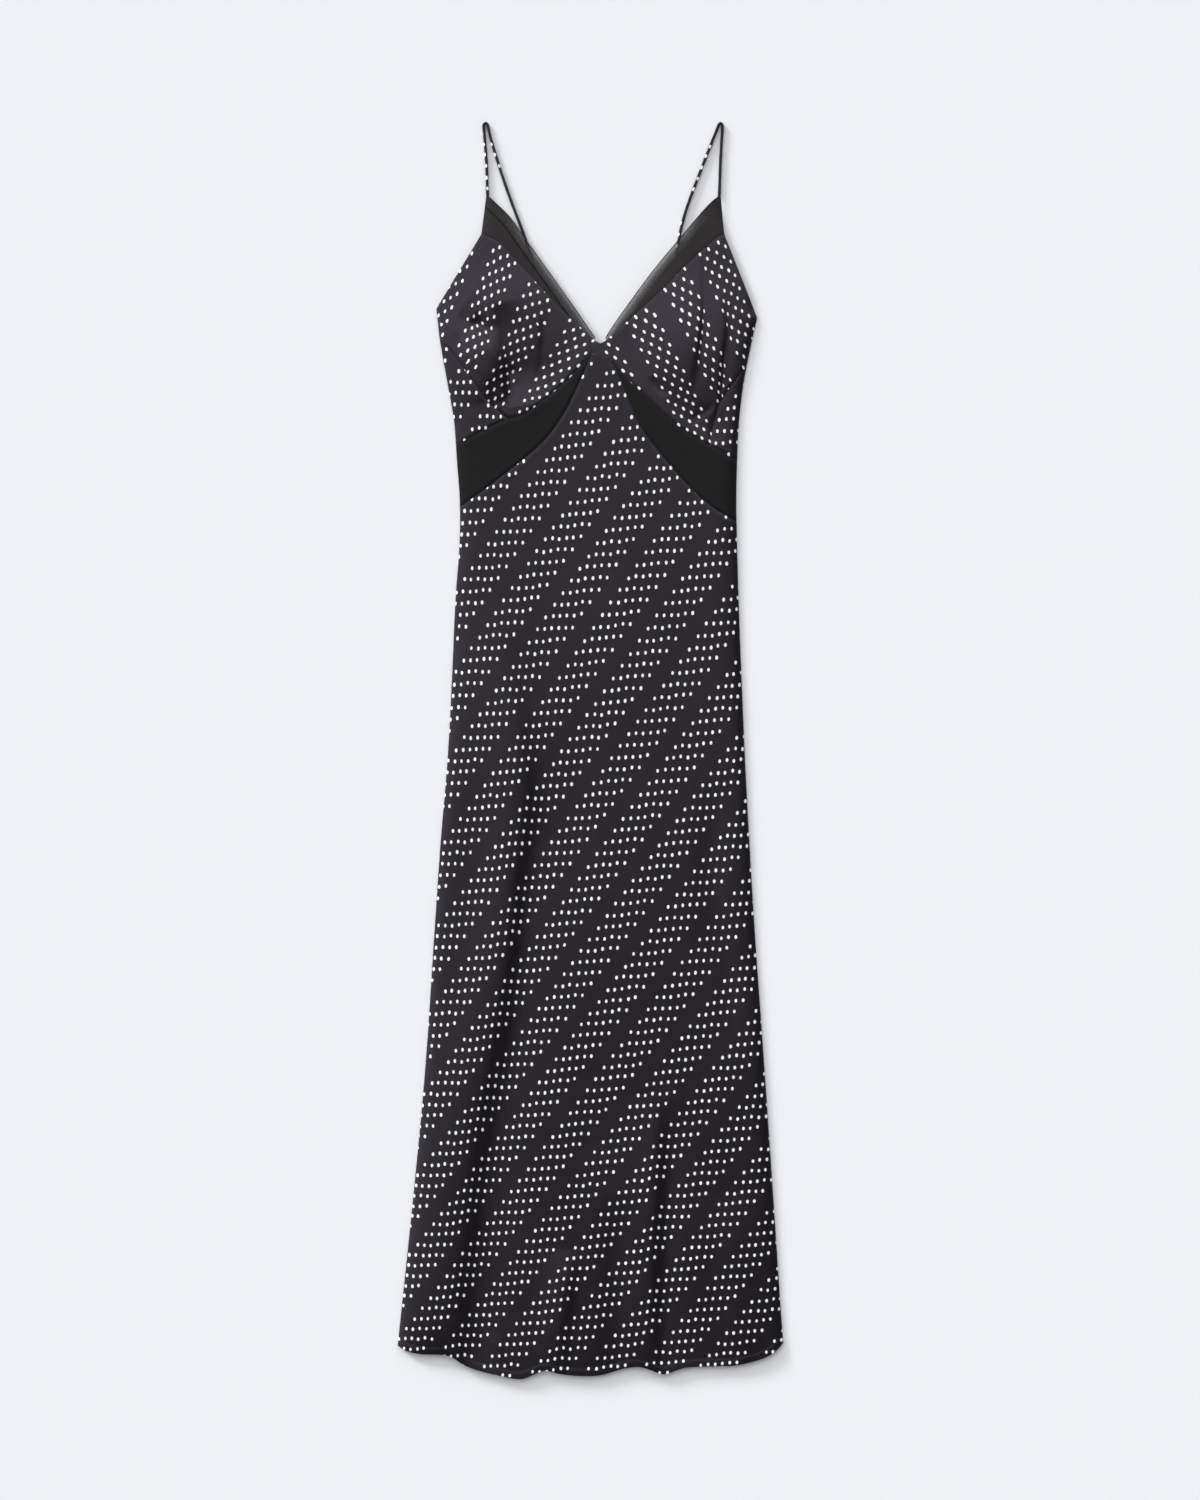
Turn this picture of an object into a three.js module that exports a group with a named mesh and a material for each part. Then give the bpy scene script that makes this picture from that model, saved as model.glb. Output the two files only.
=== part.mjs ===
// A long slip dress in dotted satin with sheer neck bands, laid flat on its back.
// Millimetres, +Z up. The straps point along +Y and the hem lies towards -Y. "Left" is the side at -X.
import * as THREE from "three";

// Driving sizes
const LENGTH = 1381.8; // strap tops to the lowest point of the hem
const SATIN = 1.2; // wall of the satin pieces
const SHEER = 1.0; // wall of the sheer neck bands
const GAP = 0.3; // between pieces at a seam, and between the layers where they meet
const LOFT = 3.4; // how far the front layer lies above the back one, away from the side seams
const ROLL = 7; // distance over which a side seam rolls down to the back layer
const STRAP = 3.2; // diameter of a rouleau strap
const STRAP_SIDES = 8;
const STRAP_STEPS = 60;
const BACK_HEM_RISE = 5; // how much shorter the back hangs, so the front hem covers it
const BACK_INSET = 0.3; // the back's edges lie this far inside the front's

// Stations of the grids: across each piece, and along it
const SIDE_SEAM_STATIONS = 8;
const CUP_SEAM_STATIONS = 9;
const PEAK_STATIONS = 2;
const INSERT_STATIONS = SIDE_SEAM_STATIONS + CUP_SEAM_STATIONS;
const BAND_STATIONS = INSERT_STATIONS + PEAK_STATIONS - 1;
const CUP_SIDE = [9, 5]; // along the armhole, and down the side
const BAND_SIDE = [1, 4]; // across the strap point, and down the armhole
const SKIRT_ROWS = 24;
const PANEL_ROWS = 6;
const INSERT_ROWS = 4;
const BACK_STATIONS = 48;
const TIP = 0.97; // a pointed piece stops at this share of its seams, where it is still over 1 mm wide

// A place on the laid garment: x across, `down` from the strap tops.
const at = (x, down) => new THREE.Vector2(x, down);

// Side edges, a row for each section of the body from the underarm to the hem
const LEFT_SIDE = [
  { down: 205.7, x: -169.4 },
  { down: 240, x: -165.6 },
  { down: 284, x: -157.9 },
  { down: 328, x: -150.2 },
  { down: 372, x: -146.9 },
  { down: 416, x: -143.8 },
  { down: 460, x: -143.8 },
  { down: 526, x: -148.5 },
  { down: 614, x: -152.4 },
  { down: 702, x: -157.2 },
  { down: 790, x: -164.6 },
  { down: 900, x: -172.2 },
  { down: 1032, x: -181.0 },
  { down: 1164, x: -193.1 },
  { down: 1296, x: -206.8 },
  { down: 1345.3, x: -212.0 },
];
const RIGHT_SIDE = [
  { down: 215.6, x: 183.2 },
  { down: 240, x: 177.7 },
  { down: 284, x: 168.9 },
  { down: 328, x: 163.4 },
  { down: 372, x: 161.2 },
  { down: 416, x: 160.2 },
  { down: 460, x: 161.0 },
  { down: 526, x: 162.8 },
  { down: 614, x: 166.1 },
  { down: 702, x: 170.0 },
  { down: 790, x: 174.6 },
  { down: 900, x: 181.2 },
  { down: 1032, x: 190.7 },
  { down: 1164, x: 199.7 },
  { down: 1296, x: 208.5 },
  { down: 1342, x: 212.0 },
];
// Armholes, from the strap point past the end of the neck band to the underarm
const LEFT_ARM = [at(-114.8, 82.6), at(-119.9, 123.8), at(-157.9, 187), at(-169.4, 205.7)];
const RIGHT_ARM = [at(143.2, 82.6), at(146.9, 123.8), at(165.1, 169.7), at(183.2, 215.6)];

// The front hem, a row for each turn of its waves
const HEM = [
  { x: -212.0, down: 1345.3 },
  { x: -204, down: 1350.4 },
  { x: -187.6, down: 1354.1 },
  { x: -161.2, down: 1355.2 },
  { x: -151, down: 1358.4 },
  { x: -140, down: 1365.8 },
  { x: -126, down: 1371.7 },
  { x: -99.6, down: 1378.3 },
  { x: -76, down: 1381.8 },
  { x: -61, down: 1376.2 },
  { x: -51, down: 1372.4 },
  { x: -33.6, down: 1376.1 },
  { x: -11.6, down: 1378.4 },
  { x: 10.5, down: 1377.6 },
  { x: 24, down: 1373.9 },
  { x: 37, down: 1370.1 },
  { x: 54, down: 1368.5 },
  { x: 66, down: 1371.9 },
  { x: 80, down: 1376.8 },
  { x: 93, down: 1372.8 },
  { x: 104, down: 1369.3 },
  { x: 129, down: 1367.9 },
  { x: 156, down: 1367.1 },
  { x: 173, down: 1364 },
  { x: 191, down: 1358.5 },
  { x: 204, down: 1350.9 },
  { x: 212, down: 1342 },
];

// Seams of the front, each from its outer end towards the centre
const NECK_LEFT = [at(-111.4, 82.6), at(-96.7, 96.6), at(-86.6, 107.4), at(-68.8, 132.6), at(-23.7, 195.8), at(7.2, 240.6)];
const NECK_RIGHT = [at(139.8, 82.6), at(126.5, 95), at(97.9, 128.5), at(64.4, 169.4), at(28.8, 218.7), at(14.6, 240.6)];
const BAND_SEAM_LEFT = [at(-119.9, 123.8), at(-100, 133.5), at(-80.9, 154), at(-46.8, 191.4), at(-19.2, 218.9), at(6.2, 242)];
const BAND_SEAM_RIGHT = [at(146.9, 123.8), at(134.8, 131.5), at(106.2, 157.5), at(80.9, 183.3), at(47.9, 213.4), at(15.6, 242)];
const SIDE_SEAM_LEFT = [at(-165.4, 242), at(-151.2, 255.5), at(-129.8, 284.6), at(-111, 309.5), at(-90.8, 326.7)];
const SIDE_SEAM_RIGHT = [at(171.3, 269), at(156.5, 287.8), at(143.5, 307), at(134.8, 334), at(131.5, 356.4)];
const CUP_SEAM_LEFT = [at(-90.8, 326.7), at(-72.5, 321.8), at(-38, 295.5), at(-13.9, 272.8), at(1.2, 255.4)];
const CUP_SEAM_RIGHT = [at(131.5, 356.4), at(108.7, 343.6), at(86.2, 326.7), at(61.1, 302.9), at(39.9, 282.7), at(25.2, 265.6)];
const PANEL_SEAM_LEFT = [at(-148, 356.4), at(-123.2, 342.6), at(-90.8, 326.7)];
const PANEL_SEAM_RIGHT = [at(161.6, 373.5), at(142.3, 361.9), at(131.5, 356.4)];
const SKIRT_SEAM_LEFT = [at(-143.6, 423.5), at(-112.5, 401.8), at(-56.7, 356.5), at(-29.9, 322.1), at(-11.2, 284.5), at(1.2, 255.4)];
const SKIRT_SEAM_RIGHT = [at(160.2, 440.6), at(117.2, 410.4), at(62.4, 347), at(41.2, 305.8), at(25.2, 265.6)];
const NECK_POINT = at(10.9, 244.2); // where the cups meet at the bottom of the neckline
const CENTRE = at(11.6, 259.1); // where they end on the skirt's peak

// The back's top edge from one underarm to the other: up to a strap, down to the centre and up again
const BACK_TOP = [at(183.2, 216.7), at(91.9, 165), at(65.5, 209), at(39, 245.3), at(10.5, 275), at(-8.3, 243.1), at(-33.6, 202.4), at(-58.9, 160.6), at(-168.9, 207.9)];

// Each cup is cut to hold a shape, so it stands up from the back layer.
const CUPS = [
  { x: -98, down: 236, halfWidth: 74, halfLength: 92, height: 10 },
  { x: 112, down: 240, halfWidth: 72, halfLength: 100, height: 7.5 },
];

// Folds of the front layer, a row for each: a ridge has a height over 0 and a trough one under 0.
// halfWidth is its slope's reach to the left and to the right of its line, which runs down the cloth.
// A fold fades out at both ends, except at the hem, where one with open: true runs off the cloth.
const FOLDS = [
  { along: [at(-145, 211), at(-115, 232), at(-100, 247), at(-91, 273), at(-84, 314)], halfWidth: [9, 36], height: -7.5 },
  { along: [at(-129, 227), at(-117, 242), at(-108, 262), at(-101, 286), at(-96, 304)], halfWidth: [26, 10], height: 4.5 },
  { along: [at(-165, 242), at(-130, 284), at(-92, 326)], halfWidth: [9, 9], height: -2.5 },
  { along: [at(124, 150), at(124, 207), at(122, 237), at(115, 280), at(111, 304)], halfWidth: [4, 24], height: -1.3 },
  { along: [at(146, 180), at(150, 226), at(146, 264), at(142, 309), at(132, 352)], halfWidth: [4, 18], height: -1.4 },
  { along: [at(66, 200), at(74, 250), at(80, 300)], halfWidth: [15, 15], height: 0.8 },
  { along: [at(-103, 526), at(-95, 636), at(-69, 746), at(-60, 790)], halfWidth: [40, 16], height: 2.2 },
  {
    along: [
      at(-90, 590), at(-82, 660), at(-74, 746), at(-84, 835), at(-97, 966), at(-119, 1087), at(-133, 1186), at(-144, 1296),
      at(-149, 1372),
    ],
    halfWidth: [38, 13], height: 3.6, open: true,
  },
  {
    along: [
      at(-68, 660), at(-60, 746), at(-70, 835), at(-83, 966), at(-105, 1087), at(-119, 1186), at(-130, 1296),
      at(-135, 1372),
    ],
    halfWidth: [13, 42], height: -3, open: true,
  },
  { along: [at(-120, 880), at(-160, 1180), at(-176, 1360)], halfWidth: [22, 22], height: 1.5, open: true },
  { along: [at(-22, 1240), at(-28, 1290), at(-33, 1330), at(-37, 1376)], halfWidth: [22, 8], height: 3, open: true },
  { along: [at(12, 1120), at(6, 1260), at(0, 1378)], halfWidth: [24, 24], height: 1.2, open: true },
  { along: [at(74, 1075), at(73, 1160), at(70, 1245), at(68, 1348), at(68, 1372)], halfWidth: [30, 8], height: 2.8, open: true },
  { along: [at(83, 1075), at(82, 1160), at(79, 1245), at(77, 1348), at(77, 1372)], halfWidth: [8, 30], height: -2.4, open: true },
  { along: [at(106, 1090), at(102, 1240), at(86, 1376)], halfWidth: [18, 24], height: 1.2, open: true },
  { along: [at(136, 720), at(132, 843), at(149, 940), at(152, 1040)], halfWidth: [16, 16], height: -1.5 },
  { along: [at(150, 1180), at(160, 1290), at(170, 1365)], halfWidth: [22, 22], height: 2, open: true },
];
const ARMHOLE_LIFT = 0.7; // share of the lift that is left at an armhole's free edge
const HEM_SETTLES = 0.8; // share of a fold's height that is lost at the hem
const SETTLE_LENGTH = 22;

// Routes of the straps on the surface: up from the neck band, round the shoulder and down to the back's top edge
const STRAP_LEFT = [
  { x: -113.2, down: 82.3 },
  { x: -113.6, down: 70 },
  { x: -114.4, down: 45 },
  { x: -116.4, down: 18 },
  { x: -117.4, down: 6.5 },
  { x: -117.2, down: 3.4 },
  { x: -115.2, down: STRAP / 2 },
  { x: -113.1, down: 3.4 },
  { x: -112.4, down: 6.5 },
  { x: -108.6, down: 22 },
  { x: -98.5, down: 55 },
  { x: -87.0, down: 88 },
  { x: -75.5, down: 118 },
  { x: -66.6, down: 143 },
  { x: -60.5, down: 160.8 },
];
const STRAP_RIGHT = [
  { x: 141.5, down: 82.3 },
  { x: 142.0, down: 70 },
  { x: 142.8, down: 45 },
  { x: 144.4, down: 18 },
  { x: 145.1, down: 6.5 },
  { x: 144.9, down: 3.4 },
  { x: 142.9, down: STRAP / 2 },
  { x: 140.8, down: 3.4 },
  { x: 139.8, down: 6.5 },
  { x: 133.6, down: 22 },
  { x: 119.5, down: 58 },
  { x: 106.8, down: 92 },
  { x: 99.4, down: 118 },
  { x: 94.9, down: 145 },
  { x: 93.1, down: 164.7 },
];

// A smooth curve y(t) through a table's rows, with the slope at each row taken from its neighbours.
function smoothTable(rows, by, column) {
  const slope = rows.map((_, i) => {
    const before = rows[Math.max(i - 1, 0)];
    const after = rows[Math.min(i + 1, rows.length - 1)];
    return (after[column] - before[column]) / (after[by] - before[by]);
  });
  return (t) => {
    let i = rows.findIndex((row) => row[by] >= t);
    i = i < 0 ? rows.length - 1 : Math.max(i, 1);
    const [a, b] = [rows[i - 1], rows[i]];
    const span = b[by] - a[by];
    const s = THREE.MathUtils.clamp((t - a[by]) / span, 0, 1);
    const [s2, s3] = [s * s, s * s * s];
    return (
      (2 * s3 - 3 * s2 + 1) * a[column] +
      (s3 - 2 * s2 + s) * span * slope[i - 1] +
      (3 * s2 - 2 * s3) * b[column] +
      (s3 - s2) * span * slope[i]
    );
  };
}

// x on a broken line at a given `down`
function onLine(points, down) {
  let i = points.findIndex((p) => p.y >= down);
  i = i < 0 ? points.length - 1 : Math.max(i, 1);
  const share = THREE.MathUtils.clamp((down - points[i - 1].y) / (points[i].y - points[i - 1].y), 0, 1);
  return THREE.MathUtils.lerp(points[i - 1].x, points[i].x, share);
}

const leftSide = smoothTable(LEFT_SIDE, "down", "x");
const rightSide = smoothTable(RIGHT_SIDE, "down", "x");
const frontHem = smoothTable(HEM, "x", "down");
const leftEdge = (down) => (down < LEFT_SIDE[0].down ? onLine(LEFT_ARM, down) : leftSide(down));
const rightEdge = (down) => (down < RIGHT_SIDE[0].down ? onLine(RIGHT_ARM, down) : rightSide(down));

// The folds' lines as closely spaced points, so that the nearest one gives the distance
const FOLD_POINTS = 40;
const folds = FOLDS.map((fold) => ({ ...fold, line: new THREE.SplineCurve(fold.along).getPoints(FOLD_POINTS) }));

function foldHeight(fold, x, down) {
  let nearest = 0;
  let least = Infinity;
  fold.line.forEach((p, i) => {
    const distance = (p.x - x) ** 2 + (p.y - down) ** 2;
    if (distance < least) [least, nearest] = [distance, i];
  });
  const share = nearest / FOLD_POINTS;
  const fadeIn = Math.sin((Math.PI / 2) * Math.min(share / 0.35, 1));
  const fadeOut = fold.open ? 1 : Math.sin((Math.PI / 2) * Math.min((1 - share) / 0.35, 1));
  const ahead = fold.line[Math.min(nearest + 1, FOLD_POINTS)].clone().sub(fold.line[Math.max(nearest - 1, 0)]);
  const [across, along] = [x - fold.line[nearest].x, down - fold.line[nearest].y];
  const side = across * ahead.y > along * ahead.x ? 1 : 0;
  return fold.height * fadeIn * fadeOut * Math.exp(-least / fold.halfWidth[side] ** 2);
}

function cupHeight(cup, x, down) {
  const reach = ((x - cup.x) / cup.halfWidth) ** 2 + ((down - cup.down) / cup.halfLength) ** 2;
  return reach < 1 ? cup.height * (1 - reach) ** 2 : 0;
}

// Height of the front layer's underside: on the back layer at the side seams, lifted by cups and folds between them
function frontHeight(x, down) {
  const inset = Math.max(Math.min(x - leftEdge(down), rightEdge(down) - x), 0);
  const cups = CUPS.reduce((sum, cup) => sum + cupHeight(cup, x, down), 0);
  const creases = folds.reduce((sum, fold) => sum + foldHeight(fold, x, down), 0);
  const settled = 1 - HEM_SETTLES * Math.exp(-Math.max(frontHem(x) - down, 0) / SETTLE_LENGTH);
  const lift = Math.max(LOFT + cups + creases * settled, 0.4);
  const free = THREE.MathUtils.smoothstep(down, 100, 130) * (1 - THREE.MathUtils.smoothstep(down, 190, 212));
  return SATIN + GAP + lift * (1 - (1 - ARMHOLE_LIFT * free) * Math.exp(-inset / ROLL));
}

// Edges of a piece, as functions of a share from 0 to 1
const line = (points) => {
  const path = new THREE.Path(points);
  return (t) => path.getPointAt(t);
};
const reversed = (edge) => (t) => edge(1 - t);
const pointed = (edge) => (t) => edge(Math.min(t, TIP));

// A seam as the same broken line for both pieces that share it
const seam = (points, stations) => {
  const knots = new THREE.SplineCurve(points).getSpacedPoints(stations);
  return (t) => {
    const i = Math.min(Math.floor(t * stations + 1e-9), stations - 1);
    return knots[i].clone().lerp(knots[i + 1], t * stations - i);
  };
};
const sideEdge = (x, from, to) => (t) => {
  const down = from + (to - from) * t;
  return at(x(down), down);
};

// One edge out of several, each with a whole number of the grid's stations
function chain(edges, stations) {
  const total = stations.reduce((sum, n) => sum + n, 0);
  return (t) => {
    let done = t * total;
    let i = 0;
    while (i < edges.length - 1 && done > stations[i] + 1e-9) done -= stations[i++];
    return edges[i](Math.min(done / stations[i], 1));
  };
}

// A plan grid between four edges (a Coons patch): top and bottom run towards +X, left and right run down.
function planGrid({ top, bottom, left, right }, columns, rows) {
  const grid = [];
  for (let j = 0; j <= rows; j++) {
    for (let i = 0; i <= columns; i++) {
      const [u, v] = [i / columns, j / rows];
      const p = new THREE.Vector2();
      p.addScaledVector(top(u), 1 - v).addScaledVector(bottom(u), v);
      p.addScaledVector(left(v), 1 - u).addScaledVector(right(v), u);
      p.addScaledVector(top(0), -(1 - u) * (1 - v)).addScaledVector(top(1), -u * (1 - v));
      p.addScaledVector(bottom(0), -(1 - u) * v).addScaledVector(bottom(1), -u * v);
      grid.push(p);
    }
  }
  return grid;
}

// The grid's border as indices, anticlockwise seen from above
function borderOf(columns, rows) {
  const index = (i, j) => j * (columns + 1) + i;
  const border = [];
  for (let j = 0; j < rows; j++) border.push(index(0, j));
  for (let i = 0; i < columns; i++) border.push(index(i, rows));
  for (let j = rows; j > 0; j--) border.push(index(columns, j));
  for (let i = columns; i > 0; i--) border.push(index(i, 0));
  return border;
}

// Moves the border inwards by half a seam gap.
function openSeams(grid, border) {
  const moved = border.map((index, k) => {
    const before = grid[border[(k + border.length - 1) % border.length]];
    const here = grid[index];
    const after = grid[border[(k + 1) % border.length]];
    const inward = (p, q) => at(q.y - p.y, p.x - q.x).normalize();
    const [n, m] = [inward(before, here), inward(here, after)];
    const mitre = Math.max(1 + n.dot(m), 0.4);
    return here.clone().addScaledVector(n.add(m), GAP / 2 / mitre);
  });
  border.forEach((index, k) => grid[index].copy(moved[k]));
}

// A closed wall of cloth that follows the front layer's height
function clothWall(edges, columns, rows, thickness) {
  const grid = planGrid(edges, columns, rows);
  const border = borderOf(columns, rows);
  openSeams(grid, border);
  const count = grid.length;
  const positions = [];
  for (const extra of [0, thickness]) {
    for (const p of grid) positions.push(p.x, LENGTH / 2 - p.y, frontHeight(p.x, p.y) + extra);
  }
  const faces = [];
  for (let j = 0; j < rows; j++) {
    for (let i = 0; i < columns; i++) {
      const a = j * (columns + 1) + i;
      const [b, c, d] = [a + 1, a + columns + 2, a + columns + 1];
      faces.push(a, b, c, a, c, d);
      faces.push(a + count, c + count, b + count, a + count, d + count, c + count);
    }
  }
  border.forEach((p, k) => {
    const q = border[(k + 1) % border.length];
    faces.push(p, q, q + count, p, q + count, p + count);
  });
  const geometry = new THREE.BufferGeometry();
  geometry.setAttribute("position", new THREE.Float32BufferAttribute(positions, 3));
  geometry.setIndex(faces);
  geometry.computeVertexNormals();
  return geometry;
}

const dottedSatin = new THREE.MeshStandardMaterial({ name: "dotted_satin", color: 0x37353c, roughness: 0.45, metalness: 0 });
const plainSatin = new THREE.MeshStandardMaterial({ name: "plain_satin", color: 0x242226, roughness: 0.5, metalness: 0 });
const sheer = new THREE.MeshStandardMaterial({
  name: "sheer",
  color: 0x363436,
  roughness: 0.8,
  metalness: 0,
  transparent: true,
  opacity: 0.85,
});

const dress = new THREE.Group();
function addPiece(name, geometry, material) {
  const mesh = new THREE.Mesh(geometry, material);
  mesh.name = name;
  dress.add(mesh);
}

// Puts the edges of a piece in the grid's order: a piece on the right runs from the centre outwards.
const edgesOf = (top, bottom, outer, inner, onRight) =>
  onRight
    ? { top: reversed(top), bottom: reversed(bottom), left: inner, right: outer }
    : { top, bottom, left: outer, right: inner };

// The front skirt: one panel with a peak between the cups
function frontSkirt() {
  const [outerLeft, outerRight] = [SKIRT_SEAM_LEFT[0], SKIRT_SEAM_RIGHT[0]];
  const [peakLeft, peakRight] = [SKIRT_SEAM_LEFT.at(-1), SKIRT_SEAM_RIGHT.at(-1)];
  const [hemLeft, hemRight] = [HEM[0], HEM.at(-1)];
  const legs = [INSERT_STATIONS, PEAK_STATIONS, PEAK_STATIONS, INSERT_STATIONS];
  const top = chain(
    [
      seam(SKIRT_SEAM_LEFT, INSERT_STATIONS),
      line([peakLeft, CENTRE]),
      line([CENTRE, peakRight]),
      reversed(seam(SKIRT_SEAM_RIGHT, INSERT_STATIONS)),
    ],
    legs,
  );
  const bottom = (t) => {
    const x = THREE.MathUtils.lerp(hemLeft.x, hemRight.x, t);
    return at(x, frontHem(x));
  };
  const left = sideEdge(leftSide, outerLeft.y, hemLeft.down);
  const right = sideEdge(rightSide, outerRight.y, hemRight.down);
  return clothWall({ top, bottom, left, right }, 2 * (INSERT_STATIONS + PEAK_STATIONS), SKIRT_ROWS, SATIN);
}

// A cup: bounded by the neck band, the armhole and side, and the seams below
function cup({ arm, side, bandSeam, sideSeam, cupSeam, onRight }) {
  const top = chain([seam(bandSeam, BAND_STATIONS), line([bandSeam.at(-1), NECK_POINT])], [BAND_STATIONS, 1]);
  const bottom = chain(
    [seam(sideSeam, SIDE_SEAM_STATIONS), seam(cupSeam, CUP_SEAM_STATIONS), line([cupSeam.at(-1), CENTRE])],
    [SIDE_SEAM_STATIONS, CUP_SEAM_STATIONS, PEAK_STATIONS],
  );
  const outer = chain([line(arm.slice(1)), sideEdge(side, arm.at(-1).y, sideSeam[0].y)], CUP_SIDE);
  const edges = edgesOf(top, bottom, outer, line([NECK_POINT, CENTRE]), onRight);
  return clothWall(edges, BAND_STATIONS + 1, CUP_SIDE[0] + CUP_SIDE[1], SATIN);
}

// A side panel: the small piece under the arm, between cup, insert and side
function sidePanel({ side, sideSeam, panelSeam, onRight }) {
  const top = pointed(seam(sideSeam, SIDE_SEAM_STATIONS));
  const bottom = pointed(seam(panelSeam, SIDE_SEAM_STATIONS));
  const outer = sideEdge(side, sideSeam[0].y, panelSeam[0].y);
  const edges = edgesOf(top, bottom, outer, line([top(1), bottom(1)]), onRight);
  return clothWall(edges, SIDE_SEAM_STATIONS, PANEL_ROWS, SATIN);
}

// A plain insert: the tapering band between the bodice and the skirt
function insert({ side, panelSeam, cupSeam, skirtSeam, onRight }) {
  const top = pointed(
    chain(
      [seam(panelSeam, SIDE_SEAM_STATIONS), seam(cupSeam, CUP_SEAM_STATIONS)],
      [SIDE_SEAM_STATIONS, CUP_SEAM_STATIONS],
    ),
  );
  const bottom = pointed(seam(skirtSeam, INSERT_STATIONS));
  const outer = sideEdge(side, panelSeam[0].y, skirtSeam[0].y);
  const edges = edgesOf(top, bottom, outer, line([top(1), bottom(1)]), onRight);
  return clothWall(edges, INSERT_STATIONS, INSERT_ROWS, SATIN);
}

// A sheer neck band: wide at the strap point and running out at the bottom of the neckline
function neckBand({ arm, neck, bandSeam, onRight }) {
  const top = pointed(seam(neck, BAND_STATIONS));
  const bottom = pointed(seam(bandSeam, BAND_STATIONS));
  const outer = chain([line([neck[0], arm[0]]), line([arm[0], arm[1]])], BAND_SIDE);
  const edges = edgesOf(top, bottom, outer, line([top(1), bottom(1)]), onRight);
  return clothWall(edges, BAND_STATIONS, BAND_SIDE[0] + BAND_SIDE[1], SHEER);
}

// The back: one panel that lies flat under the whole front
function back() {
  const outline = [];
  const [left, right] = [leftSide, rightSide];
  const hemLeft = HEM[0];
  const hemRight = { x: 211.4, down: 1345.5 };
  for (let k = 0; k <= BACK_STATIONS; k++) {
    const down = THREE.MathUtils.lerp(BACK_TOP.at(-1).y, hemLeft.down - BACK_HEM_RISE, k / BACK_STATIONS);
    outline.push(at(left(down) + BACK_INSET, down));
  }
  for (let k = 1; k < BACK_STATIONS; k++) {
    const x = THREE.MathUtils.lerp(hemLeft.x, hemRight.x, k / BACK_STATIONS);
    outline.push(at(x, frontHem(x) - BACK_HEM_RISE * (1 - k / BACK_STATIONS)));
  }
  for (let k = 0; k <= BACK_STATIONS; k++) {
    const down = THREE.MathUtils.lerp(hemRight.down, BACK_TOP[0].y, k / BACK_STATIONS);
    outline.push(at(right(down) - BACK_INSET, down));
  }
  outline.push(...BACK_TOP.slice(1, -1));
  const shape = new THREE.Shape(outline.map((p) => at(p.x, LENGTH / 2 - p.y)));
  return new THREE.ExtrudeGeometry(shape, { depth: SATIN, bevelEnabled: false });
}

// A path whose steps follow its control points, so that the turn over the shoulder gets as many as it needs
class RouteCurve extends THREE.CatmullRomCurve3 {
  getUtoTmapping(u) {
    return u;
  }
}

// A rouleau strap: a round tube of cloth
function strap(route) {
  const height = (STRAP / 2) * Math.cos(Math.PI / STRAP_SIDES) + 0.02;
  const path = new RouteCurve(route.map((p) => new THREE.Vector3(p.x, LENGTH / 2 - p.down, height)));
  const section = new THREE.Shape();
  for (let k = 0; k < STRAP_SIDES; k++) {
    const angle = (2 * Math.PI * (k + 0.5)) / STRAP_SIDES;
    const corner = at((Math.cos(angle) * STRAP) / 2, (Math.sin(angle) * STRAP) / 2);
    if (k === 0) section.moveTo(corner.x, corner.y);
    else section.lineTo(corner.x, corner.y);
  }
  section.closePath();
  return new THREE.ExtrudeGeometry(section, { steps: STRAP_STEPS, extrudePath: path, bevelEnabled: false });
}

const LEFT = {
  side: leftSide,
  arm: LEFT_ARM,
  neck: NECK_LEFT,
  bandSeam: BAND_SEAM_LEFT,
  sideSeam: SIDE_SEAM_LEFT,
  panelSeam: PANEL_SEAM_LEFT,
  cupSeam: CUP_SEAM_LEFT,
  skirtSeam: SKIRT_SEAM_LEFT,
  onRight: false,
};
const RIGHT = {
  side: rightSide,
  arm: RIGHT_ARM,
  neck: NECK_RIGHT,
  bandSeam: BAND_SEAM_RIGHT,
  sideSeam: SIDE_SEAM_RIGHT,
  panelSeam: PANEL_SEAM_RIGHT,
  cupSeam: CUP_SEAM_RIGHT,
  skirtSeam: SKIRT_SEAM_RIGHT,
  onRight: true,
};

addPiece("back", back(), dottedSatin);
addPiece("front_skirt", frontSkirt(), dottedSatin);
addPiece("insert_left", insert(LEFT), plainSatin);
addPiece("insert_right", insert(RIGHT), plainSatin);
addPiece("side_panel_left", sidePanel(LEFT), dottedSatin);
addPiece("side_panel_right", sidePanel(RIGHT), dottedSatin);
addPiece("cup_left", cup(LEFT), dottedSatin);
addPiece("cup_right", cup(RIGHT), dottedSatin);
addPiece("neck_band_left", neckBand(LEFT), sheer);
addPiece("neck_band_right", neckBand(RIGHT), sheer);
addPiece("strap_left", strap(STRAP_LEFT), dottedSatin);
addPiece("strap_right", strap(STRAP_RIGHT), dottedSatin);

export default dress;
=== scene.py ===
"""The looks of a long slip dress in dotted satin, laid flat on its back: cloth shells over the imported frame."""

import math

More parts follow.
